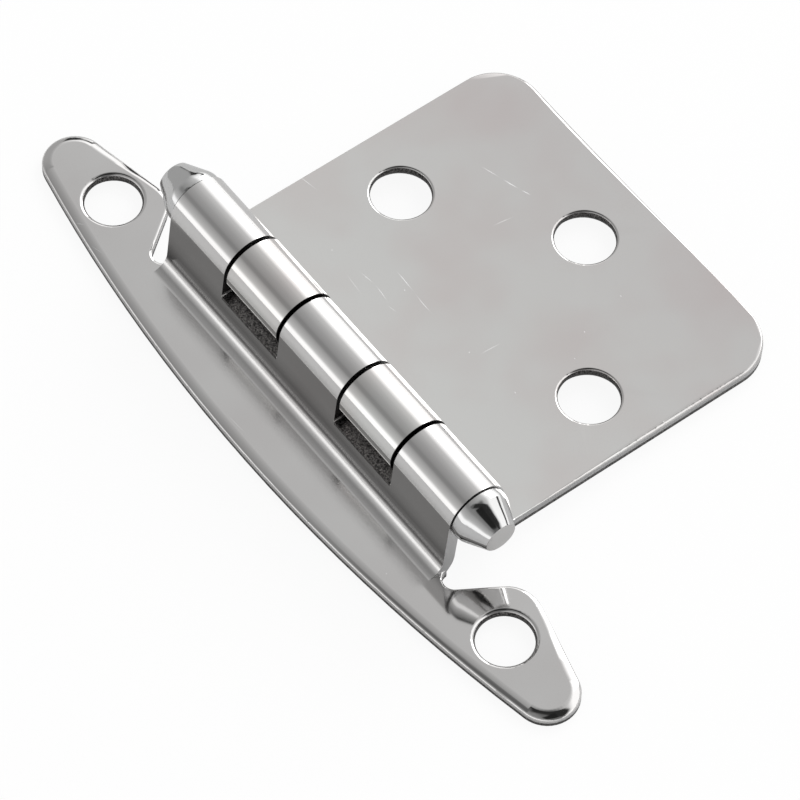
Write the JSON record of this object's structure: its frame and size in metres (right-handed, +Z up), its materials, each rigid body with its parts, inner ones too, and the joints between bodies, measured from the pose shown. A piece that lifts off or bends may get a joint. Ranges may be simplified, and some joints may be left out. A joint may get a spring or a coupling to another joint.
{
  "type": "surface mount cabinet hinge",
  "caption": "Chromed cabinet hinge: bow-shaped frame leaf, rectangular door leaf, interleaved rolled knuckles on a tapered-end pin.",
  "frame": {"origin": "midway between the frame leaf's two screw holes, on the plane of its back", "axes": "+X from the frame leaf to the door leaf's free edge, +Y along the pin, +Z up from the frame leaf's back"},
  "size_m": [0.0422, 0.0704, 0.0103],
  "materials": {
    "frame_leaf": "polished chrome plate on steel",
    "door_leaf": "chrome plate on steel, faint rolling and handling marks",
    "hinge_pin": "polished chrome plate on turned steel",
    "pin_tip": "polished chrome plate on turned steel"
  },
  "bodies": {
    "frame_side": {"frame_leaf": "frame_leaf", "hinge_pin": "hinge_pin", "pin_tip": "pin_tip"},
    "door_side": {"door_leaf": "door_leaf"}
  },
  "joints": [
    {"name": "leaf_swing", "type": "hinge", "parent": "frame_side", "child": "door_side", "pos_m": [0.00305, 0, 0.00746], "axis": [0, -1, 0], "range_deg": [0, 180]}
  ]
}
